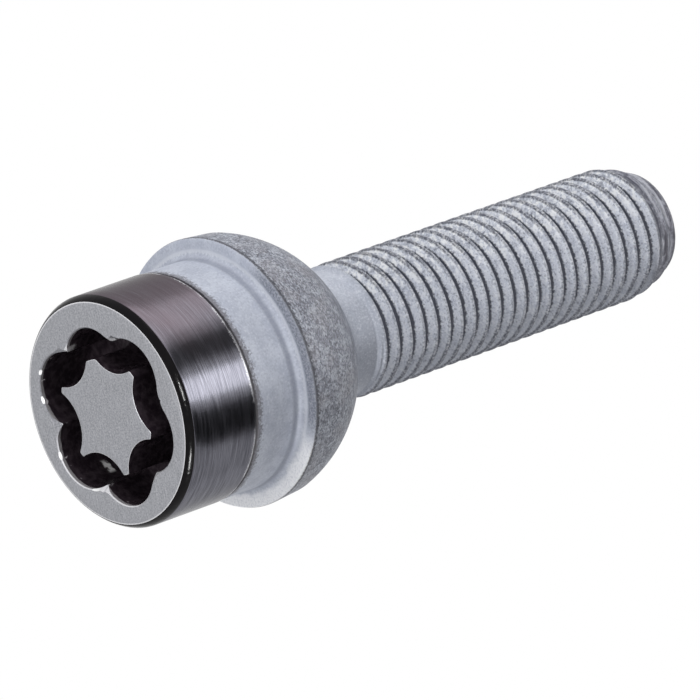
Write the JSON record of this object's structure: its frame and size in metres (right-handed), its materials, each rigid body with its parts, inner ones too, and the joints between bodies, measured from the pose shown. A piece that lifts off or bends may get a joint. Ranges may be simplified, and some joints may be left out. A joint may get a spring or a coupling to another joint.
{
  "type": "locking wheel bolt",
  "caption": "One-piece locking wheel bolt: dark barrel head with a lobed key groove, coated collar and flange, ball seat, plain neck and M12 x 1.5 threaded shank with a tapered point.",
  "frame": {"origin": "centre of the flat head face, at the bottom of the bolt as it stands on its head", "axes": "+Z along the bolt's axis from the head face to the threaded point; +X through the short lobe of the key groove"},
  "size_m": [0.0236, 0.0236, 0.0627],
  "materials": {
    "coated_steel": "matte zinc flake coating on the collar, seat and shank; dark turned barrel and ground face"
  },
  "bodies": {
    "root": {"wheel_bolt": "coated_steel"}
  },
  "joints": []
}
